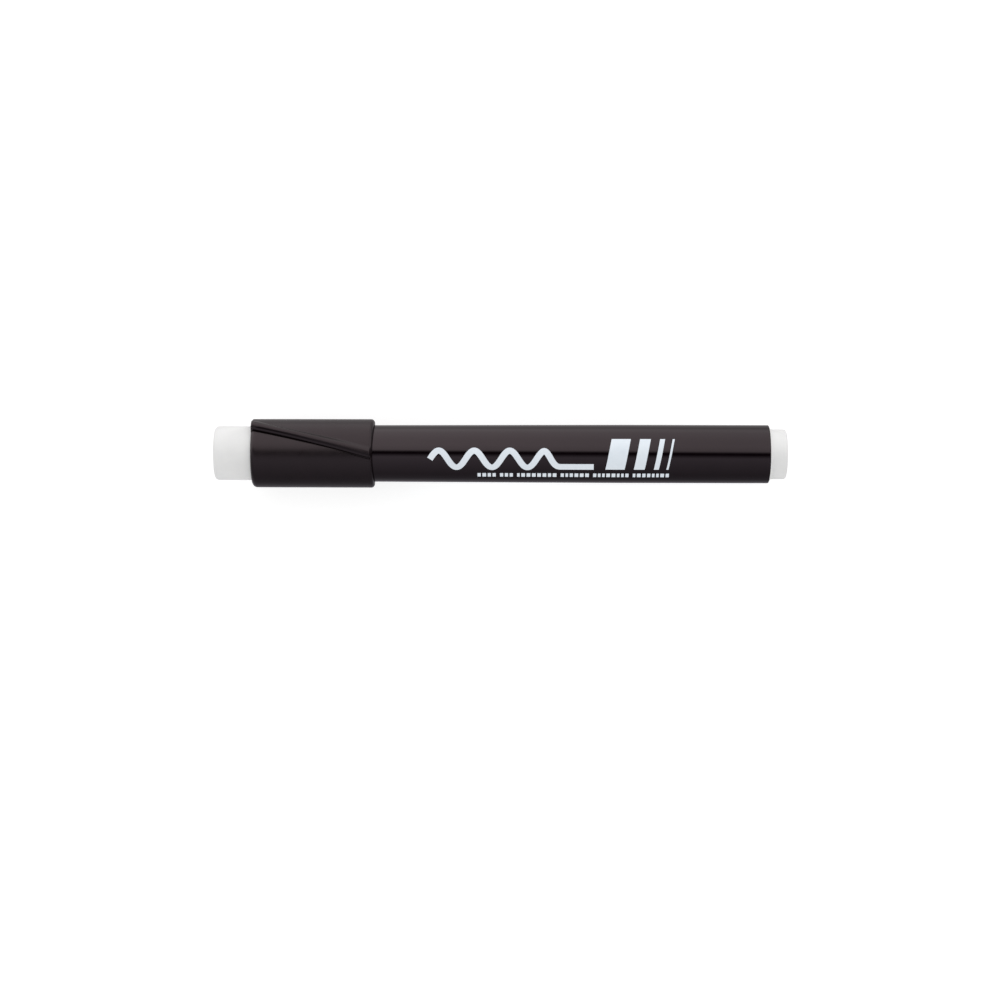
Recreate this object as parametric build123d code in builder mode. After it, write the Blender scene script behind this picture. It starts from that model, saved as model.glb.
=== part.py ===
from build123d import *
import os
from math import cos, radians, sin

# Whiteboard marker with a chisel nib and a pull-off cap, shown capped and lying on a table.
# It lies along X with the cap towards -X, its face up (+Z), and the table at Z = 0.
# The origin is on the table under the middle of the marker. Millimetres and degrees.
os.makedirs("parts", exist_ok=True)

# ---------------------------------------------------------------- overall
overall_length = 138.0
cap_end_x = -overall_length / 2
plug_end_x = overall_length / 2

# ---------------------------------------------------------------- cap
white_end_length = 9.03     # how far the inner cap shows past the sleeve
white_end_radius = 6.50
white_end_rounding = 1.0
sleeve_length = 29.6
sleeve_radius = 8.25
sleeve_growth = 0.03        # the sleeve is a little wider at its mouth
sleeve_end_wall = 1.5
sleeve_bore_radius = 6.86
sleeve_end_rounding = 1.2
sleeve_mouth_rounding = 0.85
mouth_dish_depth = 0.5      # the mouth is hollowed by this much, seen from above

rib_first_height = 0.95     # crest over the sleeve, at the closed end
rib_last_height = 0.75      # and near the mouth
rib_first_angle = 44.0      # lower foot, from straight up towards +Y, at the closed end
rib_last_angle = -10.0      # and near the mouth
rib_shoulder_angle = 4.3    # top of the steep flank past the lower foot
rib_shoulder_share = 0.82   # and its height as a share of the crest's
rib_crest_angle = 9.5       # crest past the lower foot
rib_width_angle = 26.0      # upper foot past the lower foot
rib_flare_angle = 18.0      # how much wider the rib is at the closed end
rib_flare_power = 6         # how quickly that extra width dies away
rib_root_depth = 1.15       # how deep the rib is rooted in the sleeve wall
rib_foot_sink = 0.02        # how far the rib's feet lie under the sleeve's surface
rib_mouth_gap = 1.1         # between the rib's end and the mouth
rib_sections = 7

cap_end_wall = 1.4
chamber_radius = 5.25       # air chamber round the nib
seal_bore_radius = 6.25
seal_bore_run = 1.4         # length of the cone from the chamber to the seal bore
seal_land_radius = 6.09     # runs on the nozzle collar
seal_land_width = 1.2
inner_cap_stop_gap = 0.08   # between the inner cap's rim and the barrel

# ---------------------------------------------------------------- barrel
barrel_length = 100.1
barrel_front_radius = 6.82
barrel_radius = 7.03
barrel_taper_length = 64.0
barrel_bore_radius = 5.85
barrel_edge_rounding = 0.25

# ---------------------------------------------------------------- rear plug
plug_stub_length = 4.38
plug_stub_radius = 6.02
plug_flange_radius = 6.62
plug_flange_length = 0.55
plug_dome_height = 0.2
plug_rounding = 0.7
plug_spigot_length = 6.0
plug_wall = 1.2
plug_cross_thickness = 0.9
plug_cross_length = 2.6     # how far the cross reaches past the spigot
plug_cross_span = 8.5       # its width there

# ---------------------------------------------------------------- nozzle
collar_length = 5.4
collar_radius = 6.04
collar_rounding = 0.8
nozzle_length = 15.6        # from the barrel to the nozzle's front face
neck_front_radius = 3.57
neck_rear_radius = 3.75
neck_length = 7.4
neck_edge_rounding = 0.3
flare_rounding = 3.0
nozzle_spigot_length = 9.0
nozzle_prong_length = 2.0
nozzle_prong_radius = 4.6
vent_width = 0.7
vent_depth = 0.45
vent_count = 4

# ---------------------------------------------------------------- nib
nib_radius = 2.22
nib_length = 40.0
nib_protrusion = 6.75
nib_slant = 2.2             # how much the long side of the tip leads the short side
nib_edge_thickness = 1.0
nib_bevel_angle = 31.0
nib_rounding = 0.22

# ---------------------------------------------------------------- reservoir
reservoir_radius = 5.3
wrap_thickness = 0.12
wrap_overhang = 0.4

# ---------------------------------------------------------------- worked out
axis_z = sleeve_radius + sleeve_growth
sleeve_x = cap_end_x + white_end_length
mouth_x = sleeve_x + sleeve_length
rib_length = sleeve_length - rib_mouth_gap
barrel_rear_x = plug_end_x - plug_stub_length
barrel_front_x = barrel_rear_x - barrel_length
nozzle_front_x = barrel_front_x - nozzle_length
nib_tip_x = nozzle_front_x - nib_protrusion
spigot_end_x = barrel_front_x + nozzle_spigot_length
plug_spigot_x = barrel_rear_x - plug_spigot_length
reservoir_front_x = spigot_end_x + nozzle_prong_length
reservoir_rear_x = plug_spigot_x - plug_cross_length
inner_cap_rim_x = barrel_front_x - inner_cap_stop_gap

long_axis = Axis((0, 0, axis_z), (1, 0, 0))
side_plane = Plane(origin=(0, 0, axis_z), x_dir=(1, 0, 0), z_dir=(0, -1, 0))


def cross_plane(x):
    """The plane across the marker at x. A point in it is (towards +Y, up)."""
    return Plane(origin=(x, 0, axis_z), x_dir=(0, 1, 0), z_dir=(1, 0, 0))


def polar(angle, radius):
    """A point in a cross plane, with the angle measured from straight up towards +Y."""
    return radius * sin(radians(angle)), radius * cos(radians(angle))


def turned(outline, mode=Mode.ADD):
    """Turns a closed outline of (x, radius) points about the marker's long axis."""
    with BuildSketch(side_plane) as profile:
        with BuildLine():
            Polyline(*outline, close=True)
        make_face()
    revolve(profile.sketch, axis=long_axis, mode=mode)


def ring_at(piece, x, radius):
    """The round edge of a turned piece nearest to that place along its outline."""
    there = Vector(x, 0, axis_z + radius)
    return piece.edges().filter_by(GeomType.CIRCLE).sort_by_distance(there)[0]


def rib_section(t):
    """The rib's cross-section, t of the way from the cap's closed end to its mouth."""
    foot = rib_first_angle + t * (rib_last_angle - rib_first_angle)
    crest = foot + rib_crest_angle
    height = rib_first_height + t * (rib_last_height - rib_first_height)
    far_foot = foot + rib_width_angle + rib_flare_angle * (1 - t) ** rib_flare_power
    root = sleeve_radius - rib_root_depth
    surface = sleeve_radius - rib_foot_sink
    flank_bottom = polar(foot, surface)
    shoulder = polar(foot + rib_shoulder_angle, sleeve_radius + rib_shoulder_share * height)
    ridge = polar(crest, sleeve_radius + height)
    slope = polar((crest + far_foot) / 2, sleeve_radius + 0.4 * height)
    slope_end = polar(far_foot, surface)
    with BuildSketch(cross_plane(sleeve_x + t * rib_length)) as section:
        with BuildLine():
            Line(polar(foot, root), flank_bottom)
            Line(flank_bottom, shoulder)
            Spline(shoulder, ridge, slope, slope_end)
            Line(slope_end, polar(far_foot, root))
            Line(polar(far_foot, root), polar(foot, root))
        make_face()
    return section.sketch


# ---------------------------------------------------------------- cap sleeve
with BuildPart() as cap_sleeve:
    trimmed_x = mouth_x + mouth_dish_depth
    turned([
        (sleeve_x, 0), (sleeve_x, sleeve_radius),
        (trimmed_x, sleeve_radius + sleeve_growth), (trimmed_x, 0),
    ])
    # A large upright cylinder trims the mouth to a shallow hollow curve.
    dish_radius = (sleeve_radius**2 + mouth_dish_depth**2) / (2 * mouth_dish_depth)
    with BuildSketch(Plane.XY):
        with Locations((mouth_x - mouth_dish_depth + dish_radius, 0)):
            Circle(dish_radius)
    extrude(amount=2 * (axis_z + rib_first_height), mode=Mode.SUBTRACT)
    fillet(cap_sleeve.faces().sort_by(Axis.X)[-1].edges(), sleeve_mouth_rounding)
    fillet(cap_sleeve.faces().sort_by(Axis.X)[0].edges(), sleeve_end_rounding)
    # A slanted rib winds a little way round the sleeve, from its closed end to its mouth.
    loft([rib_section(i / (rib_sections - 1)) for i in range(rib_sections)])
    turned([
        (sleeve_x, 0), (sleeve_x, white_end_radius),
        (sleeve_x + sleeve_end_wall, white_end_radius),
        (sleeve_x + sleeve_end_wall, sleeve_bore_radius),
        (trimmed_x, sleeve_bore_radius), (trimmed_x, 0),
    ], mode=Mode.SUBTRACT)
cap_sleeve.part.label = "cap_sleeve"
export_step(cap_sleeve.part, "parts/cap_sleeve.step")

# ---------------------------------------------------------------- inner cap
with BuildPart() as inner_cap:
    shoulder_x = sleeve_x + sleeve_end_wall
    chamber_end_x = nozzle_front_x + neck_length
    seal_bore_x = chamber_end_x + seal_bore_run
    turned([
        (cap_end_x, 0), (cap_end_x, white_end_radius), (shoulder_x, white_end_radius),
        (shoulder_x, sleeve_bore_radius), (inner_cap_rim_x, sleeve_bore_radius),
        (inner_cap_rim_x, 0),
    ])
    fillet(inner_cap.faces().sort_by(Axis.X)[0].edges(), white_end_rounding)
    turned([
        (cap_end_x + cap_end_wall, 0), (cap_end_x + cap_end_wall, chamber_radius),
        (chamber_end_x, chamber_radius), (seal_bore_x, seal_bore_radius),
        (inner_cap_rim_x, seal_bore_radius), (inner_cap_rim_x, 0),
    ], mode=Mode.SUBTRACT)
    # A raised land inside the bore seals on the nozzle collar.
    land_x = barrel_front_x - collar_length / 2
    land_half = seal_land_width / 2
    land_foot = seal_bore_radius - seal_land_radius + land_half
    turned([
        (land_x - land_foot, seal_bore_radius), (land_x - land_half, seal_land_radius),
        (land_x + land_half, seal_land_radius), (land_x + land_foot, seal_bore_radius),
    ])
inner_cap.part.label = "inner_cap"
export_step(inner_cap.part, "parts/inner_cap.step")

# ---------------------------------------------------------------- barrel
with BuildPart() as barrel:
    turned([
        (barrel_front_x, barrel_bore_radius), (barrel_front_x, barrel_front_radius),
        (barrel_front_x + barrel_taper_length, barrel_radius), (barrel_rear_x, barrel_radius),
        (barrel_rear_x, barrel_bore_radius),
    ])
    front_rim = barrel.faces().sort_by(Axis.X)[0].outer_wire().edges()
    rear_rim = barrel.faces().sort_by(Axis.X)[-1].outer_wire().edges()
    fillet(front_rim + rear_rim, barrel_edge_rounding)
barrel.part.label = "barrel"
export_step(barrel.part, "parts/barrel.step")

# ---------------------------------------------------------------- nozzle
with BuildPart() as nozzle:
    flare_x = nozzle_front_x + neck_length
    collar_x = barrel_front_x - collar_length
    turned([
        (nozzle_front_x, 0), (nozzle_front_x, neck_front_radius), (flare_x, neck_rear_radius),
        (collar_x, collar_radius), (barrel_front_x, collar_radius),
        (barrel_front_x, barrel_bore_radius), (spigot_end_x, barrel_bore_radius),
        (spigot_end_x, nozzle_prong_radius), (reservoir_front_x, nozzle_prong_radius),
        (reservoir_front_x, 0),
    ])
    fillet(ring_at(nozzle, flare_x, neck_rear_radius), flare_rounding)
    fillet(ring_at(nozzle, collar_x, collar_radius), collar_rounding)
    fillet(ring_at(nozzle, nozzle_front_x, neck_front_radius), neck_edge_rounding)
    # The nib's bore, with vent channels along it that let air back to the reservoir.
    with BuildSketch(cross_plane(nozzle_front_x)):
        Circle(nib_radius)
        with PolarLocations(nib_radius, vent_count, start_angle=45):
            Rectangle(2 * vent_depth, vent_width)
    extrude(amount=reservoir_front_x - nozzle_front_x, mode=Mode.SUBTRACT)
nozzle.part.label = "nozzle"
export_step(nozzle.part, "parts/nozzle.step")

# ---------------------------------------------------------------- nib
with BuildPart() as nib:
    with BuildSketch(cross_plane(nib_tip_x)):
        Circle(nib_radius)
    extrude(amount=nib_length)
    # The writing edge is slanted in plan, and its long side is towards -Y.
    edge_direction = Vector(nib_slant, 2 * nib_radius, 0).normalized()
    back = Vector(edge_direction.Y, -edge_direction.X, 0)
    edge_corner = Vector(nib_tip_x, -nib_radius, axis_z)
    split(bisect_by=Plane(origin=edge_corner, x_dir=edge_direction, z_dir=back))
    bevel = radians(nib_bevel_angle)
    for side in (1, -1):
        inwards = back * sin(bevel) - Vector(0, 0, side) * cos(bevel)
        bevel_corner = edge_corner + Vector(0, 0, side * nib_edge_thickness / 2)
        split(bisect_by=Plane(origin=bevel_corner, x_dir=edge_direction, z_dir=inwards))
    tip_face = nib.faces().filter_by(GeomType.PLANE).sort_by(Axis.X)[0]
    fillet(tip_face.edges(), nib_rounding)
nib.part.label = "nib"
export_step(nib.part, "parts/nib.step")

# ---------------------------------------------------------------- reservoir
with BuildPart() as reservoir_core:
    nib_rear_x = nib_tip_x + nib_length
    turned([
        (reservoir_front_x, nib_radius), (reservoir_front_x, reservoir_radius),
        (reservoir_rear_x, reservoir_radius), (reservoir_rear_x, 0), (nib_rear_x, 0),
        (nib_rear_x, nib_radius),
    ])
reservoir_core.part.label = "reservoir_core"
export_step(reservoir_core.part, "parts/reservoir_core.step")

with BuildPart() as reservoir_wrap:
    turned([
        (reservoir_front_x + wrap_overhang, reservoir_radius),
        (reservoir_front_x + wrap_overhang, reservoir_radius + wrap_thickness),
        (reservoir_rear_x - wrap_overhang, reservoir_radius + wrap_thickness),
        (reservoir_rear_x - wrap_overhang, reservoir_radius),
    ])
reservoir_wrap.part.label = "reservoir_wrap"
export_step(reservoir_wrap.part, "parts/reservoir_wrap.step")

# ---------------------------------------------------------------- rear plug
with BuildPart() as rear_plug:
    stub_x = barrel_rear_x + plug_flange_length
    shoulder_end_x = plug_end_x - plug_dome_height
    dome_radius = (plug_stub_radius**2 + plug_dome_height**2) / (2 * plug_dome_height)
    with BuildSketch(side_plane):
        with BuildLine():
            Polyline(
                (plug_end_x, 0), (plug_spigot_x, 0), (plug_spigot_x, barrel_bore_radius),
                (barrel_rear_x, barrel_bore_radius), (barrel_rear_x, plug_flange_radius),
                (stub_x, plug_stub_radius), (shoulder_end_x, plug_stub_radius),
            )
            RadiusArc((shoulder_end_x, plug_stub_radius), (plug_end_x, 0), dome_radius)
        make_face()
    revolve(axis=long_axis)
    fillet(ring_at(rear_plug, shoulder_end_x, plug_stub_radius), plug_rounding)
    # The spigot is hollow, with a cross that keeps the reservoir forward on the nib.
    with BuildSketch(cross_plane(plug_spigot_x)):
        Circle(barrel_bore_radius - plug_wall)
    extrude(amount=plug_spigot_length + plug_stub_length - plug_wall - plug_dome_height,
            mode=Mode.SUBTRACT)
    with BuildSketch(cross_plane(plug_spigot_x)):
        with PolarLocations(0, 2, angular_range=90):
            Rectangle(2 * (barrel_bore_radius - plug_wall), plug_cross_thickness)
    extrude(amount=plug_spigot_length)
    with BuildSketch(cross_plane(plug_spigot_x)):
        with PolarLocations(0, 2, angular_range=90):
            Rectangle(plug_cross_span, plug_cross_thickness)
    extrude(amount=-plug_cross_length)
rear_plug.part.label = "rear_plug"
export_step(rear_plug.part, "parts/rear_plug.step")
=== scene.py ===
import math
import random

import bmesh
import bpy
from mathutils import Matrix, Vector, noise as noises


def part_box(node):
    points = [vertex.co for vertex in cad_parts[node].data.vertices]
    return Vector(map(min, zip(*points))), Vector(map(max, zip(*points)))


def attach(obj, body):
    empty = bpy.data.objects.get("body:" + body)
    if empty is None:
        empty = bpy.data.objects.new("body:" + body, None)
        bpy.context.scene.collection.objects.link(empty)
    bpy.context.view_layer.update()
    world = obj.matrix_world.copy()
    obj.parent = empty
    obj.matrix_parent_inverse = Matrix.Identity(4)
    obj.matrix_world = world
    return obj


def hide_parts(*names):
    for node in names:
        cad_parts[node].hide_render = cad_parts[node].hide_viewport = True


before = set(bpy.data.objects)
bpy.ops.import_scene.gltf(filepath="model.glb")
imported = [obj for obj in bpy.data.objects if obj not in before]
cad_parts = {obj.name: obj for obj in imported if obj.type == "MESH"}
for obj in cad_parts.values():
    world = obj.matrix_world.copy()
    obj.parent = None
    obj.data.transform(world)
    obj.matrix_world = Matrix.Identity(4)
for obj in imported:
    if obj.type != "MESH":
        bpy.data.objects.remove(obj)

# The marker lies along X with its cap towards -X and its printed face up. Lengths below are in
# millimetres, and MM turns them into the frame's metres where a vertex or an object is placed.
MM = 0.001
HAIR = 0.003        # how far the pieces stay inside their CAD pieces
SHARP_ANGLE = math.radians(35)      # faces that meet at more than this keep a crisp edge
ARC_STEPS = 6       # straight pieces in each small rounding of a turned outline
random.seed(8)
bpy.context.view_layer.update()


def node_span(name):
    """(lowest x, highest x, half the width across Y) of a CAD node, in millimetres."""
    low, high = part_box(name)
    return low.x / MM + HAIR, high.x / MM - HAIR, (high.y - low.y) / 2 / MM - HAIR


SLEEVE_X, SLEEVE_MOUTH_X, SLEEVE_R = node_span("cap_sleeve")
WHITE_END_X, INNER_CAP_RIM_X, SLEEVE_BORE_R = node_span("inner_cap")
BARREL_X, BARREL_REAR_X, BARREL_R = node_span("barrel")
NOZZLE_X, NOZZLE_REAR_X, COLLAR_R = node_span("nozzle")
PLUG_X, PLUG_END_X, FLANGE_R = node_span("rear_plug")
NIB_TIP_X, NIB_REAR_X, NIB_R = node_span("nib")
AXIS_Z = (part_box("barrel")[0].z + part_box("barrel")[1].z) / 2 / MM

# ---------------------------------------------------------------- shape helpers


def place(x, radius, degrees):
    """The point at x and that distance from the marker's axis, turned from straight up to +Y."""
    a = math.radians(degrees)
    return Vector((x, radius * math.sin(a), AXIS_Z + radius * math.cos(a))) * MM


def smooth(q):
    """0 below 0, 1 above 1, and an even S between them."""
    q = min(max(q, 0.0), 1.0)
    return q * q * (3 - 2 * q)


def steps(count):
    """Equal steps up to 1, without the 0."""
    return [k / count for k in range(1, count + 1)]


def noise_at(point):
    """A smooth random value from about -1 to 1, the same on every run."""
    return noises.noise(Vector(point))


def rounded(corners):
    """Outline points (x, radius) from corners (x, radius, rounding), each rounding as an arc."""
    points = []
    for i, (x, r, rounding) in enumerate(corners):
        corner = Vector((x, r))
        if not rounding:
            points.append((x, r))
            continue
        back = (Vector(corners[i - 1][:2]) - corner).normalized()
        ahead = (Vector(corners[(i + 1) % len(corners)][:2]) - corner).normalized()
        half = back.angle(ahead) / 2
        centre = corner + (back + ahead).normalized() * rounding / math.sin(half)
        arm = corner + back * rounding / math.tan(half) - centre
        turn = math.pi - 2 * half
        if back.x * ahead.y - back.y * ahead.x > 0:
            turn = -turn
        for k in range(ARC_STEPS + 1):
            a = turn * k / ARC_STEPS
            spoke = Vector((arm.x * math.cos(a) - arm.y * math.sin(a),
                            arm.x * math.sin(a) + arm.y * math.cos(a)))
            points.append(tuple(centre + spoke))
    return points


def finish_piece(name, bm, body, slot, node=None):
    """Makes the object from bm, ties it to its body, gives it its slot's material, and hides the
    CAD node it stands in for.
    """
    bmesh.ops.recalc_face_normals(bm, faces=bm.faces)
    mesh = bpy.data.meshes.new(name)
    bm.to_mesh(mesh)
    bm.free()
    for polygon in mesh.polygons:
        polygon.use_smooth = True
    mesh.set_sharp_from_angle(angle=SHARP_ANGLE)
    obj = bpy.data.objects.new(name, mesh)
    bpy.context.scene.collection.objects.link(obj)
    mesh.materials.append(materials[slot])
    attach(obj, body)
    if node:
        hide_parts(node)


def grid_surface(bm, rows, closed):
    """Joins rows of points, each row a ring, with quads. A row may be a single point."""
    rings = [[bm.verts.new(p) for p in row] for row in rows]
    pairs = list(zip(rings, rings[1:])) + ([(rings[-1], rings[0])] if closed else [])
    for a, b in pairs:
        n = max(len(a), len(b))
        for j in range(n):
            quad = [a[j % len(a)], a[(j + 1) % len(a)], b[(j + 1) % len(b)], b[j % len(b)]]
            corners = list(dict.fromkeys(quad))
            if len(corners) > 2:
                bm.faces.new(corners)


def turned(outline, columns=192, shape=None):
    """A surface turned from (x, radius) points. shape(x, radius, degrees) may change a radius."""
    bm = bmesh.new()
    rows = []
    for x, r in outline:
        if r < 1e-6:
            rows.append([place(x, 0, 0)])
            continue
        angles = [360 * j / columns for j in range(columns)]
        rows.append([place(x, shape(x, r, a) if shape else r, a) for a in angles])
    closed = outline[0][1] > 1e-6
    grid_surface(bm, rows, closed)
    return bm


# ---------------------------------------------------------------- materials
NOISE_LOW, NOISE_HIGH = 0.3, 0.7    # the part of a noise texture's range that it mostly keeps to


def new_material(name, colour, roughness, **inputs):
    """A material, its node tree and its Principled shader, with plain values on the shader."""
    material = bpy.data.materials.new(name)
    material.use_nodes = True
    tree = material.node_tree
    shader = next(n for n in tree.nodes if n.type == "BSDF_PRINCIPLED")
    shader.inputs["Base Color"].default_value = (*colour, 1)
    shader.inputs["Roughness"].default_value = roughness
    for key, value in inputs.items():
        shader.inputs[key.replace("_", " ")].default_value = value
    return material, tree, shader


def noise(tree, scale, detail=4.0, stretch=(1, 1, 1)):
    """A noise texture fixed to the piece, with features of about 1 / scale metres."""
    coordinates = tree.nodes.new("ShaderNodeTexCoord")
    mapping = tree.nodes.new("ShaderNodeMapping")
    mapping.inputs["Scale"].default_value = stretch
    texture = tree.nodes.new("ShaderNodeTexNoise")
    texture.inputs["Scale"].default_value = scale
    texture.inputs["Detail"].default_value = detail
    tree.links.new(coordinates.outputs["Object"], mapping.inputs["Vector"])
    tree.links.new(mapping.outputs["Vector"], texture.inputs["Vector"])
    return texture


def colour_blend(tree, source, colours):
    """A texture's factor from NOISE_LOW to NOISE_HIGH as a blend between two colours."""
    node = tree.nodes.new("ShaderNodeValToRGB")
    positions = (NOISE_LOW, NOISE_HIGH)
    for element, position, colour in zip(node.color_ramp.elements, positions, colours):
        element.position = position
        element.color = (*colour, 1)
    tree.links.new(source.outputs["Fac"], node.inputs["Fac"])
    return node


def spread(tree, source, low, high):
    """A texture's factor from NOISE_LOW to NOISE_HIGH as a value from low to high."""
    node = tree.nodes.new("ShaderNodeMapRange")
    node.inputs["From Min"].default_value = NOISE_LOW
    node.inputs["From Max"].default_value = NOISE_HIGH
    node.inputs["To Min"].default_value = low
    node.inputs["To Max"].default_value = high
    tree.links.new(source.outputs["Fac"], node.inputs["Value"])
    return node


def add_bump(tree, shader, source, height_mm):
    """Raises the surface by a texture's factor times height_mm, in shading only."""
    bump = tree.nodes.new("ShaderNodeBump")
    bump.inputs["Strength"].default_value = 1.0
    bump.inputs["Distance"].default_value = height_mm * MM
    tree.links.new(source.outputs["Fac"], bump.inputs["Height"])
    tree.links.new(bump.outputs["Normal"], shader.inputs["Normal"])


def moulded_plastic(name, colours, gloss, grain, inputs):
    """Plastic with a faint mottle in its colour, a roughness between two values and a fine grain.
    grain is the grain's (height in millimetres, scale)."""
    material, tree, shader = new_material(name, colours[1], gloss[0], **inputs)
    colour = colour_blend(tree, noise(tree, 260), colours)
    tree.links.new(colour.outputs["Color"], shader.inputs["Base Color"])
    sheen = spread(tree, noise(tree, 520, 6.0), *gloss)
    tree.links.new(sheen.outputs["Result"], shader.inputs["Roughness"])
    add_bump(tree, shader, noise(tree, grain[1], 3.0), grain[0])
    return material


def inked_fibre(name):
    """Bonded fibre, soaked with ink, with its strands along the marker."""
    material, tree, shader = new_material(name, (0.03, 0.03, 0.03), 0.85)
    strands = noise(tree, 2400, 5.0, (0.12, 1, 1))
    shade = colour_blend(tree, strands, ((0.02, 0.02, 0.019), (0.085, 0.086, 0.08)))
    tree.links.new(shade.outputs["Color"], shader.inputs["Base Color"])
    sheen = spread(tree, strands, 0.6, 0.95)
    tree.links.new(sheen.outputs["Result"], shader.inputs["Roughness"])
    add_bump(tree, shader, strands, 0.05)
    return material


def make_materials():
    tint = (1.0, 0.86, 0.9, 1)
    plastics = {
        "cap_plastic": (((0.0028, 0.0014, 0.002), (0.0042, 0.0022, 0.003)), (0.27, 0.33),
                        (0.002, 3800), {"Specular_Tint": tint, "Specular_IOR_Level": 0.46}),
        "barrel_plastic": (((0.0024, 0.001, 0.0018), (0.0034, 0.0016, 0.0026)), (0.07, 0.1),
                           (0.0005, 2600), {"Specular_Tint": tint}),
        "nozzle_plastic": (((0.004, 0.0044, 0.0036), (0.008, 0.0085, 0.007)), (0.14, 0.24),
                           (0.003, 1800), {}),
        "white_plastic": (((0.8, 0.8, 0.795), (0.84, 0.84, 0.835)), (0.38, 0.48), (0.003, 2200),
                          {"Subsurface_Weight": 0.12,
                           "Subsurface_Radius": (0.0012, 0.0012, 0.0011)}),
        "print_white": (((0.76, 0.83, 0.9), (0.82, 0.88, 0.94)), (0.35, 0.5), (0.002, 3000), {}),
        "print_black": (((0.008, 0.008, 0.008), (0.014, 0.014, 0.014)), (0.35, 0.5),
                        (0.002, 3000), {}),
        "print_green": (((0.01, 0.2, 0.075), (0.016, 0.26, 0.1)), (0.35, 0.5), (0.002, 3000), {}),
        "wrap_film": (((0.5, 0.52, 0.55), (0.6, 0.62, 0.65)), (0.15, 0.25), (0.002, 900), {}),
    }
    made = {slot: moulded_plastic(slot, *look) for slot, look in plastics.items()}
    for slot in ("nib_fibre", "reservoir_fibre"):
        made[slot] = inked_fibre(slot)
    return made


materials = make_materials()

# ---------------------------------------------------------------- cap sleeve
SLEEVE_GROWTH = 0.03        # the sleeve is a little wider at its mouth
SLEEVE_END_WALL = 1.5
SLEEVE_HOLE_R = 6.5         # the inner cap shows through this hole
HOLE_LIP_LENGTH, HOLE_LIP_WIDTH = 0.25, 0.12    # its chamfer
SLEEVE_CORNER = 1.2
SQUARE_CORNER = 0.3         # the corner beside the rib
SQUARE_START, SQUARE_FADE_IN = -1.0, 1.5    # where it starts and ends, in degrees past the rib's
SQUARE_END, SQUARE_FADE_OUT = 66.0, 16.0    # lower foot, and how many degrees it blends over
MOUTH_ROUNDING = 0.85
MOUTH_LIP = 0.2             # chamfer inside the mouth
MOUTH_DISH = 0.4            # the mouth is hollowed by this much, seen from above
DISH_REACH = 8.0            # and the wall's rings bend with it this far back
COARSE_LENGTH = 25.75       # the wall's rings are finer past this, where the rib ends
# The rib, from its lower foot: a stepped face of (width seen from above, rise in degrees) facets,
# a rounding to the crest, and a long slope. A groove runs below the foot. Foot, slope, flare and
# groove wall are degrees round the sleeve.
RIB_END_X = SLEEVE_MOUTH_X - 0.65
RIB_STOP_X = RIB_END_X + 0.1        # where the rib's end face meets the sleeve
RIB_END_LENGTH = 0.4
RIB_FOOT_FIRST, RIB_FOOT_LAST = 42.8, -8.7
RIB_FACETS = ((0.18, 55.0), (0.41, 8.0), (0.44, 43.0))
RIB_ROUND = 0.5
RIB_SLOPE = 10.0
RIB_FLARE = 18.0            # how much wider the slope is at the closed end
FLARE_POWER = 6             # how quickly that extra width dies away
GROOVE_DEPTH = 0.48
GROOVE_WIDTH = 0.36
GROOVE_WALL = 0.4
FACET_STEPS, SLOPE_STEPS, PLAIN_STEPS = 6, 28, 110


def rib_travel(x):
    """How far x is along the rib, 0 at the cap's closed end and 1 at the rib's end."""
    return min(max((x - SLEEVE_X) / (RIB_END_X - SLEEVE_X), 0.0), 1.0)


def rib_foot(x):
    """The angle of the rib's lower foot at x."""
    return RIB_FOOT_FIRST + rib_travel(x) * (RIB_FOOT_LAST - RIB_FOOT_FIRST)


def rib_profile(x):
    """The sleeve's surface at x, once round it, as (degrees past the rib's lower foot, lift)."""
    foot = rib_foot(x)
    groove = math.degrees(GROOVE_WIDTH / (SLEEVE_R * math.cos(math.radians(foot))))
    points = [(-groove - before, 0.0) for before in (1.5, 1.0, 0.5, 0.0)]
    points += [(-groove + GROOVE_WALL, -GROOVE_DEPTH), (-groove / 2, -GROOVE_DEPTH),
               (-GROOVE_WALL, -GROOVE_DEPTH), (0.0, 0.0)]
    corner = Vector((math.sin(math.radians(foot)), math.cos(math.radians(foot)))) * SLEEVE_R
    for width, rise in RIB_FACETS:
        end = corner + Vector((width, width * math.tan(math.radians(rise))))
        for q in steps(FACET_STEPS):
            p = corner.lerp(end, q)
            points.append((math.degrees(math.atan2(p.x, p.y)) - foot, p.length - SLEEVE_R))
        corner = end
    top_angle, top = points[-1]
    steepness = math.tan(math.radians(foot + top_angle))
    for q in steps(FACET_STEPS):
        points.append((top_angle + q * math.degrees(RIB_ROUND / SLEEVE_R),
                       top + steepness * RIB_ROUND * (q - q * q / 2)))
    crest_angle, crest = points[-1]
    slope = RIB_SLOPE + RIB_FLARE * (1 - rib_travel(x)) ** FLARE_POWER
    points += [(crest_angle + slope * q, crest * (1 + math.cos(math.pi * q)) / 2)
               for q in steps(SLOPE_STEPS)]
    far_foot = crest_angle + slope
    plain = 360 + points[0][0] - far_foot
    return points + [(far_foot + plain * q, 0.0) for q in steps(PLAIN_STEPS)[:-1]]


def quarter(count):
    """Angles from 0 to a right angle, for a rounding."""
    return [math.pi / 2 * k / count for k in range(count + 1)]


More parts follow.
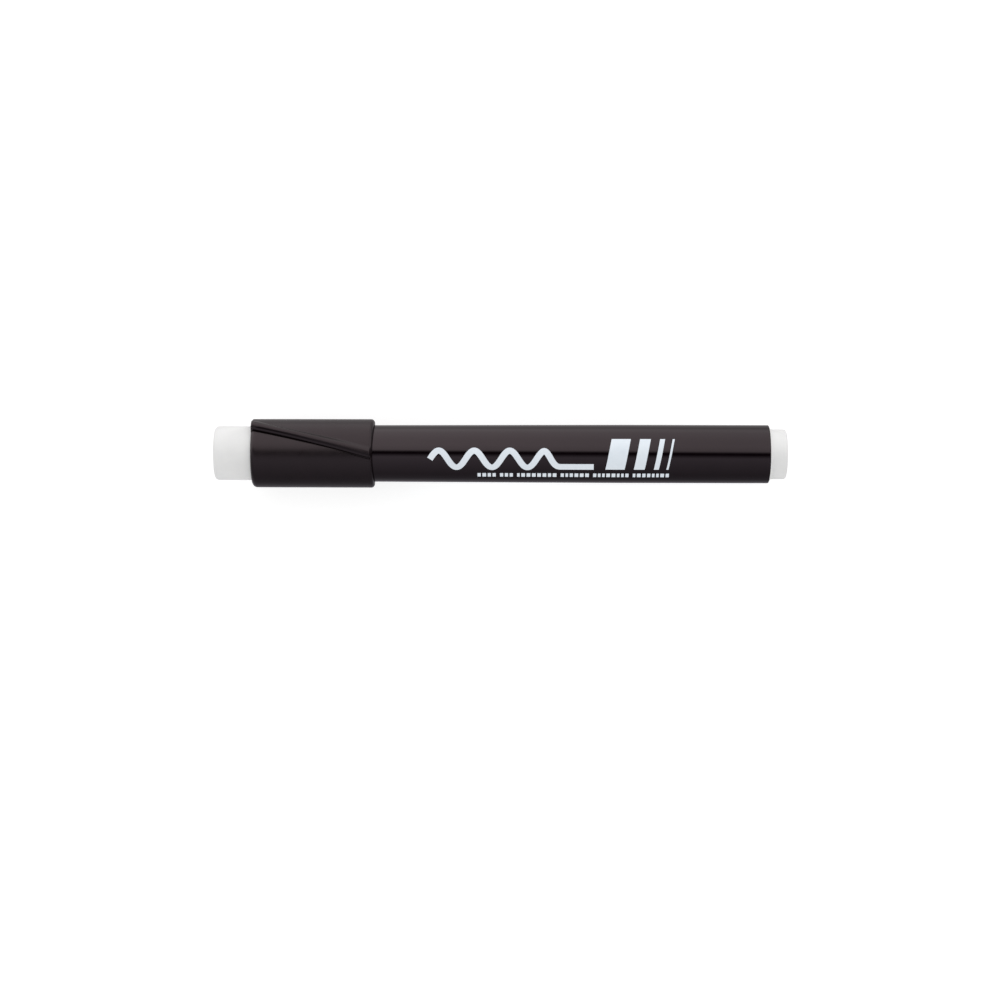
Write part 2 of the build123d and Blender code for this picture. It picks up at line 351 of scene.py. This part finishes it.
def make_cap_sleeve():
    """The sleeve's grid turns with the rib, so that the rib's edges run along its columns."""
    bore_end_x = SLEEVE_X + SLEEVE_END_WALL
    wall_end_x = SLEEVE_MOUTH_X - MOUTH_ROUNDING
    rows = []

    def row(x, r, outside=0.0, square=None, dished=0.0):
        """One ring. outside and dished say how much of the rib's lift and of the mouth's dish it
        takes, and square is the (x, radius) that it takes instead beside the rib."""
        ring = []
        for past_foot, lift in rib_profile(x):
            px, pr = x, r
            if square:
                share = (smooth((past_foot - SQUARE_START) / SQUARE_FADE_IN)
                         * smooth((SQUARE_END - past_foot) / SQUARE_FADE_OUT))
                px += (square[0] - x) * share
                pr += (square[1] - r) * share
            angle = past_foot + rib_foot(px)
            px -= MOUTH_DISH * math.cos(math.radians(angle)) ** 2 * dished
            pr += lift * outside * smooth((RIB_STOP_X - px) / RIB_END_LENGTH)
            ring.append(place(px, pr, angle))
        rows.append(ring)

    row(bore_end_x, SLEEVE_HOLE_R)
    row(SLEEVE_X + HOLE_LIP_LENGTH, SLEEVE_HOLE_R)
    row(SLEEVE_X, SLEEVE_HOLE_R + HOLE_LIP_WIDTH)
    closed_r = SLEEVE_R - SLEEVE_GROWTH
    for a in quarter(10):
        corner = [(SLEEVE_X + size * (1 - math.cos(a)), closed_r - size * (1 - math.sin(a)))
                  for size in (SLEEVE_CORNER, SQUARE_CORNER)]
        row(*corner[0], outside=math.sin(a), square=corner[1])
    wall_start_x = SLEEVE_X + SLEEVE_CORNER
    coarse_end_x = wall_start_x + COARSE_LENGTH
    stations = [wall_start_x + COARSE_LENGTH * q for q in steps(103)]
    stations += [coarse_end_x + (wall_end_x - coarse_end_x) * q for q in steps(24)]
    for x in stations:
        row(x, SLEEVE_R - SLEEVE_GROWTH * (SLEEVE_MOUTH_X - x) / (SLEEVE_MOUTH_X - SLEEVE_X),
            outside=1.0, dished=smooth(1 - (wall_end_x - x) / DISH_REACH))
    for a in quarter(12)[1:]:
        row(wall_end_x + MOUTH_ROUNDING * math.sin(a),
            SLEEVE_R - MOUTH_ROUNDING * (1 - math.cos(a)), outside=1.0, dished=1.0)
    row(SLEEVE_MOUTH_X, SLEEVE_BORE_R + MOUTH_LIP, dished=1.0)
    row(SLEEVE_MOUTH_X - MOUTH_LIP, SLEEVE_BORE_R, dished=1.0)
    bore = SLEEVE_MOUTH_X - MOUTH_LIP - bore_end_x
    for q in steps(30):
        row(bore_end_x + bore * (1 - q), SLEEVE_BORE_R, dished=smooth(1 - 3 * q))
    bm = bmesh.new()
    grid_surface(bm, rows, closed=True)
    finish_piece("cap_sleeve_shell", bm, "cap", "cap_plastic", "cap_sleeve")


make_cap_sleeve()

# ---------------------------------------------------------------- inner cap
CHAMBER_R = 5.25
SEAL_BORE_R = 6.25
SEAL_LAND_R = 6.09
CAP_END_WALL = 1.4
CAP_DIMPLE = 0.18           # the moulding dimple in the closed end
CHAMBER_TAPER = 1.4
LAND_HALF_LENGTH = 0.55
LAND_RAMP = 0.2
COLLAR_LENGTH = 5.4
NECK_LENGTH = 7.4


def make_inner_cap():
    dimple_x = WHITE_END_X + CAP_DIMPLE
    end_wall_x = WHITE_END_X + CAP_END_WALL
    chamber_end = NOZZLE_X + NECK_LENGTH
    shoulder = SLEEVE_X + SLEEVE_END_WALL
    land = BARREL_X - COLLAR_LENGTH / 2
    land_reach = LAND_HALF_LENGTH + LAND_RAMP
    outline = rounded([
        (dimple_x, 0, 0), (dimple_x, 0.55, 0.1), (WHITE_END_X, 0.8, 0.15),
        (WHITE_END_X, SLEEVE_HOLE_R, 1.0),
        (shoulder, SLEEVE_HOLE_R, 0.1), (shoulder, SLEEVE_BORE_R, 0.15),
        (INNER_CAP_RIM_X, SLEEVE_BORE_R, 0.15), (INNER_CAP_RIM_X, SEAL_BORE_R, 0.1),
        (land + land_reach, SEAL_BORE_R, 0), (land + LAND_HALF_LENGTH, SEAL_LAND_R, 0.1),
        (land - LAND_HALF_LENGTH, SEAL_LAND_R, 0.1), (land - land_reach, SEAL_BORE_R, 0),
        (chamber_end + CHAMBER_TAPER, SEAL_BORE_R, 0.3), (chamber_end, CHAMBER_R, 0.3),
        (end_wall_x, CHAMBER_R, 0.6), (end_wall_x, 0, 0),
    ])
    finish_piece("inner_cap_cup", turned(outline), "cap", "white_plastic", "inner_cap")


make_inner_cap()

# ---------------------------------------------------------------- barrel
BARREL_FRONT_R = 6.82
BARREL_TAPER = 64.0
BARREL_BORE_R = 5.85


def barrel_radius(x):
    """The barrel's outer radius at x."""
    return BARREL_R - (BARREL_R - BARREL_FRONT_R) * max(0.0, 1 - (x - BARREL_X) / BARREL_TAPER)


def make_barrel():
    outline = rounded([
        (BARREL_X, BARREL_BORE_R, 0), (BARREL_X, BARREL_FRONT_R, 0.25),
        (BARREL_X + BARREL_TAPER, BARREL_R, 0), (BARREL_REAR_X, BARREL_R, 0.25),
        (BARREL_REAR_X, BARREL_BORE_R, 0),
    ])
    finish_piece("barrel_tube", turned(outline), "pen", "barrel_plastic", "barrel")


make_barrel()

# ---------------------------------------------------------------- nozzle
NECK_FRONT_R = 3.57
NECK_REAR_R = 3.75
NOZZLE_TAIL_R = 4.6
NOZZLE_TAIL_LENGTH = 2.0
VENT_DEPTH = 0.45
VENT_HALF_WIDTH = 0.35
VENT_WALL = 0.12
VENT_REACH = 0.3            # they cut only the rings of points this close to the nib
NIB_HOLE_CHAMFER = 0.06
FACE_RING = 0.62            # a ring on the front face, where the vents have run out
NOZZLE_COLUMNS = 240


def vent_shape(x, r, degrees):
    """Cuts the vent channels into the nib's bore."""
    if r > NIB_R + VENT_REACH:
        return r
    across = r * math.radians(abs(degrees % 90 - 45))
    return r + VENT_DEPTH * (1 - smooth((across - VENT_HALF_WIDTH) / VENT_WALL + 0.5))


def make_nozzle():
    flare_x = NOZZLE_X + NECK_LENGTH
    collar_x = BARREL_X - COLLAR_LENGTH
    tail_x = NOZZLE_REAR_X - NOZZLE_TAIL_LENGTH
    outline = rounded([
        (NOZZLE_X, NIB_R + NIB_HOLE_CHAMFER, 0), (NOZZLE_X, NIB_R + FACE_RING, 0),
        (NOZZLE_X, NECK_FRONT_R, 0.3),
        (flare_x, NECK_REAR_R, 3.0), (collar_x, COLLAR_R, 0.8), (BARREL_X, COLLAR_R, 0),
        (BARREL_X, BARREL_BORE_R, 0), (tail_x, BARREL_BORE_R, 0.2),
        (tail_x, NOZZLE_TAIL_R, 0.1), (NOZZLE_REAR_X, NOZZLE_TAIL_R, 0.2),
        (NOZZLE_REAR_X, NIB_R, 0), (NOZZLE_X + NIB_HOLE_CHAMFER, NIB_R, 0),
    ])
    bm = turned(outline, NOZZLE_COLUMNS, vent_shape)
    finish_piece("nozzle_body", bm, "pen", "nozzle_plastic", "nozzle")


make_nozzle()

# ---------------------------------------------------------------- nib
NIB_SLANT = 2.2
NIB_EDGE = 1.0
NIB_BEVEL = math.radians(31)
NIB_ROUNDING = 0.22
NIB_FRAY = 0.035            # how much the fibres vary the radius, as a share of it
NIB_CORNER = 0.16           # the facets blend into the round sides over this
NIB_COLUMNS = 200


def make_nib():
    """Rings that lie along the slanted writing edge, so that each facet is flat between them."""
    slant = math.atan2(NIB_SLANT, 2 * NIB_R)
    rear_x = NIB_REAR_X - 0.1
    # close together at the edge, then in even steps along the shaft
    depths = [0.02 * k**1.5 for k in range(1, 40)]
    depths += [depths[-1] + 0.7 * k for k in range(1, 44)]
    depths = [d for d in depths if NIB_ROUNDING + 0.05 < d < rear_x - NIB_TIP_X - NIB_SLANT - 0.2]
    bm = bmesh.new()

    def ring(depth, inset, rear=False):
        """Points round the nib at that depth behind its edge, each moved in by inset."""
        half = NIB_EDGE / 2 + depth * math.tan(NIB_BEVEL)
        points = []
        for k in range(NIB_COLUMNS):
            a = 2 * math.pi * k / NIB_COLUMNS
            up, side = math.cos(a), math.sin(a)
            flat = (half - inset) / max(abs(up), 1e-3)
            round_r = NIB_R - inset
            blend = min(max(0.5 + (round_r - flat) / NIB_CORNER, 0.0), 1.0)
            r = flat * blend + round_r * (1 - blend) - NIB_CORNER / 2 * blend * (1 - blend)
            y, z = r * side, r * up
            from_middle = (depth + y * math.sin(slant)) / math.cos(slant)
            x = rear_x if rear else NIB_TIP_X + NIB_SLANT / 2 + from_middle
            fray = NIB_FRAY * (noise_at((x * 0.6, y * 5, z * 5)) - 0.6)
            points.append(Vector((x, y * (1 + fray), z * (1 + fray) + AXIS_Z)) * MM)
        return points

    innermost = ring(0.0, NIB_EDGE / 2 - 0.02)
    rings = [[(innermost[0] + innermost[NIB_COLUMNS // 2]) / 2]]
    rings += [ring(0.0, inset) for inset in (0.42, 0.33)]
    for a in quarter(6):
        rings.append(ring(NIB_ROUNDING * (1 - math.cos(a)), NIB_ROUNDING * (1 - math.sin(a))))
    rings += [ring(depth, 0.0) for depth in depths]
    rings.append(ring(0.0, 0.0, rear=True))
    rings.append([place(rear_x, 0, 0)])
    grid_surface(bm, rings, closed=False)
    finish_piece("nib_fibre_tip", bm, "pen", "nib_fibre", "nib")


make_nib()

# ---------------------------------------------------------------- rear plug
PLUG_STUB_R = 6.02
PLUG_FLANGE_LENGTH = 0.55
PLUG_WALL = 1.2
PLUG_END_WALL = 1.4
PLUG_DIMPLE = 0.2
PLUG_DOME = 0.2             # the end stands this much higher in its middle than at its edge
PLUG_CROSS = 2.6


def make_rear_plug():
    spigot_x = PLUG_X + PLUG_CROSS
    dimple_x = PLUG_END_X - PLUG_DIMPLE
    hollow_x = PLUG_END_X - PLUG_END_WALL
    hollow_r = BARREL_BORE_R - PLUG_WALL
    outline = rounded([
        (dimple_x, 0, 0), (dimple_x, 0.5, 0.1), (PLUG_END_X - 0.02, 0.75, 0.15),
        (PLUG_END_X - PLUG_DOME, PLUG_STUB_R, 0.7),
        (BARREL_REAR_X + PLUG_FLANGE_LENGTH, PLUG_STUB_R, 0.1), (BARREL_REAR_X, FLANGE_R, 0.05),
        (BARREL_REAR_X, BARREL_BORE_R, 0), (spigot_x, BARREL_BORE_R, 0.3),
        (spigot_x, hollow_r, 0.2), (hollow_x, hollow_r, 0.4), (hollow_x, 0, 0),
    ])
    finish_piece("rear_plug_cup", turned(outline), "pen", "white_plastic", "rear_plug")


make_rear_plug()

# ---------------------------------------------------------------- print
# The print is thin ink on the barrel, drawn flat as (x, height round the barrel) in millimetres.
# Plain shapes stand where a real marker has its name, its sizes, its small text and its labels.
INK_LIFT = 0.02
OVERPRINT_LIFT = 1.8 * INK_LIFT     # for ink that lies on other ink
INK_STEP = 0.3              # the pads follow the barrel's round in strips of this height
FRONT, BACK = 0.0, 180.0


def ink(name, shapes, centre, slot, lift=INK_LIFT):
    """Closed ink pads on the barrel. centre is the angle that heights are measured from."""
    bm = bmesh.new()
    for shape in shapes:
        bm.faces.new([bm.verts.new((x, v, 0)) for x, v in shape])
    bmesh.ops.remove_doubles(bm, verts=bm.verts, dist=1e-5)
    bmesh.ops.triangulate(bm, faces=bm.faces)
    heights = [v.co.y for v in bm.verts]
    first, last = (round(h / INK_STEP) for h in (min(heights), max(heights)))
    cuts = [((0, k * INK_STEP, 0), (0, 1, 0)) for k in range(first, last + 1)]
    cuts.append(((BARREL_X + BARREL_TAPER, 0, 0), (1, 0, 0)))
    for point, across in cuts:
        bmesh.ops.bisect_plane(bm, geom=bm.verts[:] + bm.edges[:] + bm.faces[:], dist=1e-6,
                               plane_co=point, plane_no=across)
    made = bmesh.ops.extrude_face_region(bm, geom=bm.faces[:])["geom"]
    tops = {item for item in made if isinstance(item, bmesh.types.BMVert)}
    for vertex in bm.verts:
        x, height = vertex.co.x, vertex.co.y
        level = barrel_radius(x) + (lift if vertex in tops else -INK_LIFT)
        vertex.co = place(x, level, centre + math.degrees(height / BARREL_R))
    finish_piece(name, bm, "pen", slot)


def box_shape(x0, x1, v0, v1, lean=0.0):
    """A rectangle whose top leads its bottom by lean."""
    return [(x0, v0), (x1, v0), (x1 + lean, v1), (x0 + lean, v1)]


def disc_shape(x, v, radius, corners):
    turn = 2 * math.pi / corners
    return [(x + radius * math.cos(turn * k), v + radius * math.sin(turn * k))
            for k in range(corners)]


def word_blocks(x0, x1, v0, v1, width, gap):
    """A row of small blocks in groups of random length, in place of a line of small text."""
    shapes, x, left = [], x0, random.randint(3, 8)
    while x + width <= x1:
        this = width * random.choice((0.8, 1.0, 1.0, 1.15))
        if left:
            shapes.append(box_shape(x, min(x + this, x1), v0, v1))
            x += this + gap
            left -= 1
        else:
            x += 0.8 * width
            left = random.randint(3, 9)
    return shapes


def ribbon_shape(path, width):
    """A band of one width along a path of (x, height) points."""
    edges = ([], [])
    for k, point in enumerate(path):
        before, after = Vector(path[max(k - 1, 0)]), Vector(path[min(k + 1, len(path) - 1)])
        along = (after - before).normalized()
        for edge, side in zip(edges, (1, -1)):
            edge.append((point[0] - side * along.y * width / 2,
                         point[1] + side * along.x * width / 2))
    return edges[0] + edges[1][::-1]


def make_front_print():
    # a hand-drawn wave that settles to a straight line
    start_x, length, swing, pitch = -17.0, 39.2, 2.1, 0.74
    wave = []
    for k in range(301):
        x = start_x + length * k / 300
        calm = smooth((x - 10) / 5)
        middle = -1.5 - 1.9 * calm
        wave.append((x, middle + swing * (1 - calm) * math.sin((x - start_x) * pitch)))
    # three slanted strokes and a fine one, from the nib's full width to its thin edge
    strokes = [box_shape(x, x + width, -4.1, 3.6, 1.5)
               for x, width in ((25.0, 4.6), (31.8, 2.6), (36.6, 1.2), (39.6, 0.5))]
    ink("print_wave", [ribbon_shape(wave, 1.5)], FRONT, "print_white")
    ink("print_strokes", strokes, FRONT, "print_white")
    ink("print_front_row", word_blocks(-5.6, 41.4, -6.55, -5.3, 0.78, 0.38), FRONT,
        "print_white")


def make_back_print():
    # a plain drawing of a pen along the barrel: an open tip, a collar and a long body
    pen_low, pen_high = 6.35, 10.6
    tip = [(-25.0, 3.5), (-23.6, 4.9), (-21.8, 5.55), (-19.3, 5.8), (-19.0, pen_high),
           (-24.6, pen_high)]
    inner = [(-24.75, 4.35), (-23.5, 5.3), (-21.7, 5.9), (-19.65, 6.12), (-19.35, pen_high - 0.3),
             (-24.3, pen_high - 0.3)]
    tip_sides = [[tip[k], tip[(k + 1) % 6], inner[(k + 1) % 6], inner[k]] for k in range(6)]
    ink("print_pen_tip", tip_sides, BACK, "print_white")
    ink("print_pen_body", [box_shape(-18.8, -13.7, pen_low, pen_high, -0.8),
                           box_shape(-12.8, 62.4, pen_low, pen_high, -0.8)], BACK, "print_white")
    ink("print_back_rows",
        word_blocks(-13.0, 17.2, 2.1, 4.05, 1.35, 0.32)
        + word_blocks(-13.0, 10.6, 0.1, 1.15, 0.72, 0.2)
        + word_blocks(-13.0, 4.9, -2.75, -1.1, 1.0, 0.28)
        + word_blocks(50.2, 62.2, -6.75, -5.85, 0.8, 0.2), BACK, "print_white")
    # a green drop of ink with a glint: its tip, and an arc from one side of it to the other
    x, v, radius, tip_height = 34.4, -1.9, 3.5, 6.2
    first = 90 + math.degrees(math.acos(radius / tip_height))
    drop = [(x, v + tip_height)]
    for k in range(49):
        a = math.radians(first + (540 - 2 * first) * k / 48)
        drop.append((x + radius * math.cos(a), v + radius * math.sin(a)))
    ink("print_drop", [drop], BACK, "print_green")
    ink("print_drop_glint", [disc_shape(x - 1.3, v + 0.5, 0.8, 24)], BACK, "print_white",
        lift=OVERPRINT_LIFT)
    # a white panel with plain bars of random width, which code for nothing
    ink("print_panel", [box_shape(40.7, 63.0, -5.4, 4.4)], BACK, "print_white")
    bars, x = [], 42.9
    while x < 61.9:
        width = random.choice((0.16, 0.16, 0.3, 0.3, 0.45, 0.6))
        bars.append(box_shape(x, x + width, -2.25, 3.95))
        x += width + random.choice((0.18, 0.3, 0.3, 0.5))
    ink("print_panel_bars", bars, BACK, "print_black", lift=OVERPRINT_LIFT)
    ink("print_panel_row", word_blocks(41.4, 62.2, -4.6, -3.0, 0.95, 0.42), BACK, "print_black",
        lift=OVERPRINT_LIFT)


make_front_print()
make_back_print()

# ---------------------------------------------------------------- hidden pieces
# They keep their CAD shape and only take a material.
for node, slot in (("reservoir_core", "reservoir_fibre"), ("reservoir_wrap", "wrap_film")):
    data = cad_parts[node].data
    data.materials.clear()
    data.materials.append(materials[slot])

# ---------------------------------------------------------------- stage
# Sizes and distances here are in metres.
WHITE = (1, 1, 1, 1)
FLOOR_HALF_SIZE = 3
FLOOR_GREY = 0.42
FLOOR_GLOW = 0.74
SOFTBOX_SIZE = (2.4, 1.6)
SOFTBOX_WATTS = 8
SOFTBOX_SIDE = (0, 0.9, 0.55)       # where it hangs, seen from the marker
SOFTBOX_DISTANCE = 1.6
FILL_LEVEL = 0.80


def make_floor():
    """A pale sheet, lit from below like a light table, so that shadows on it stay faint."""
    bm = bmesh.new()
    bmesh.ops.create_grid(bm, x_segments=1, y_segments=1, size=FLOOR_HALF_SIZE)
    mesh = bpy.data.meshes.new("floor")
    bm.to_mesh(mesh)
    bm.free()
    floor = bpy.data.objects.new("floor", mesh)
    bpy.context.scene.collection.objects.link(floor)
    material, _, _ = new_material("floor_sheet", (FLOOR_GREY,) * 3, 0.9, Emission_Color=WHITE,
                                  Emission_Strength=FLOOR_GLOW)
    mesh.materials.append(material)
    floor.visible_glossy = False


def make_softbox():
    """A large soft light on the +Y side, so that the marker is a little brighter there."""
    data = bpy.data.lights.new("softbox", "AREA")
    data.shape = "RECTANGLE"
    data.size, data.size_y = SOFTBOX_SIZE
    data.energy = SOFTBOX_WATTS
    light = bpy.data.objects.new("softbox", data)
    bpy.context.scene.collection.objects.link(light)
    direction = Vector(SOFTBOX_SIDE).normalized()
    light.location = direction * SOFTBOX_DISTANCE
    light.rotation_euler = direction.to_track_quat("Z", "X").to_euler()
    light.visible_camera = False
    light.visible_glossy = False


# What the marker's gloss mirrors, as (degrees from straight up towards +Y, brightness): a bright
# softbox over its +Y side, a dimmer one over its -Y side that fades towards the table, the table
# itself, and a narrow dark gap between the boxes, which shows as the line along the marker's top.
REFLECTED = (
    (-180, 0.42), (-120, 0.2), (-93, 0.23), (-18, 0.62), (-4, 0), (3, 0),
    (12, 1.16), (30, 1.37), (76, 1.42), (106, 1.2), (124, 0.52), (180, 0.42),
)
# All of it is turned by GAP_ANGLE, and skewed so that the gap runs a little aslant.
GAP_ANGLE = 1.05
GAP_SKEW = 15.0
DIM_TINT, BRIGHT_TINT = (0.97, 0.93, 1.02), (1.02, 0.97, 0.985)
# The mirrored light is a little brighter towards the cap than towards the plug.
CAP_SIDE_LEVEL, PLUG_SIDE_LEVEL = 2.17, 1.83
LEVEL_REACH = 0.15


def make_world():
    """Plain white for the camera, REFLECTED for gloss, and an even fill for all other light."""
    world = bpy.data.worlds.new("studio")
    bpy.context.scene.world = world
    world.use_nodes = True
    tree = world.node_tree
    fill = tree.nodes["Background"]
    fill.inputs["Color"].default_value = WHITE
    fill.inputs["Strength"].default_value = FILL_LEVEL
    seen = tree.nodes.new("ShaderNodeBackground")
    seen.inputs["Color"].default_value = WHITE

    def maths(operation, first, second, third=None):
        node = tree.nodes.new("ShaderNodeMath")
        node.operation = operation
        for socket, value in zip(node.inputs, (first, second, third)):
            if isinstance(value, (int, float)):
                socket.default_value = value
            elif value is not None:
                tree.links.new(value, socket)
        return node.outputs["Value"]

    def choose(ray, shader, otherwise):
        """One shader for that kind of ray, and another for the rest."""
        node = tree.nodes.new("ShaderNodeMixShader")
        tree.links.new(path.outputs[ray], node.inputs["Fac"])
        tree.links.new(otherwise, node.inputs[1])
        tree.links.new(shader, node.inputs[2])
        return node.outputs["Shader"]

    coordinates = tree.nodes.new("ShaderNodeTexCoord")
    split = tree.nodes.new("ShaderNodeSeparateXYZ")
    tree.links.new(coordinates.outputs["Generated"], split.inputs["Vector"])
    angle = maths("ARCTAN2", split.outputs["Y"], split.outputs["Z"])
    skewed = maths("MULTIPLY_ADD", split.outputs["X"], math.radians(GAP_SKEW), angle)
    turned_back = maths("SUBTRACT", skewed, math.radians(GAP_ANGLE))
    share = maths("MULTIPLY_ADD", turned_back, 1 / (2 * math.pi), 0.5)
    studio = tree.nodes.new("ShaderNodeValToRGB")
    elements = studio.color_ramp.elements
    for _ in REFLECTED[2:]:
        elements.new(0.5)
    for element, (degrees, level) in zip(elements, REFLECTED):
        element.position = degrees / 360 + 0.5
        tint = DIM_TINT if degrees < 0 else BRIGHT_TINT
        element.color = (*(level * c / 2 for c in tint), 1)
    tree.links.new(share, studio.inputs["Fac"])
    mirrored = tree.nodes.new("ShaderNodeBackground")
    lengthways = tree.nodes.new("ShaderNodeMapRange")
    lengthways.inputs["From Min"].default_value = -LEVEL_REACH
    lengthways.inputs["From Max"].default_value = LEVEL_REACH
    lengthways.inputs["To Min"].default_value = CAP_SIDE_LEVEL
    lengthways.inputs["To Max"].default_value = PLUG_SIDE_LEVEL
    tree.links.new(split.outputs["X"], lengthways.inputs["Value"])
    tree.links.new(lengthways.outputs["Result"], mirrored.inputs["Strength"])
    tree.links.new(studio.outputs["Color"], mirrored.inputs["Color"])

    path = tree.nodes.new("ShaderNodeLightPath")
    unseen = choose("Is Glossy Ray", mirrored.outputs["Background"], fill.outputs["Background"])
    surface = choose("Is Camera Ray", seen.outputs["Background"], unseen)
    tree.links.new(surface, tree.nodes["World Output"].inputs["Surface"])


CAMERA_LENS, CAMERA_SENSOR = 89.34, 36      # millimetres, as on a camera
CAMERA_HEIGHT = 0.6         # metres above the marker's axis
CAMERA_SHIFT = (-0.2, -11.2)        # millimetres along X and Y
CAMERA_ROLL = math.radians(0.12)


def make_camera():
    """Straight above the marker and a little to its -Y side, which puts it high in the frame."""
    data = bpy.data.cameras.new("camera")
    data.lens = CAMERA_LENS
    data.sensor_width = CAMERA_SENSOR
    data.clip_start, data.clip_end = 0.01, 20
    camera = bpy.data.objects.new("camera", data)
    shift_x, shift_y = CAMERA_SHIFT
    camera.location = (shift_x * MM, shift_y * MM, AXIS_Z * MM + CAMERA_HEIGHT)
    camera.rotation_euler = (0, 0, CAMERA_ROLL)
    bpy.context.scene.collection.objects.link(camera)
    bpy.context.scene.camera = camera


make_floor()
make_softbox()
make_world()
make_camera()
bpy.context.scene.view_settings.view_transform = "Standard"
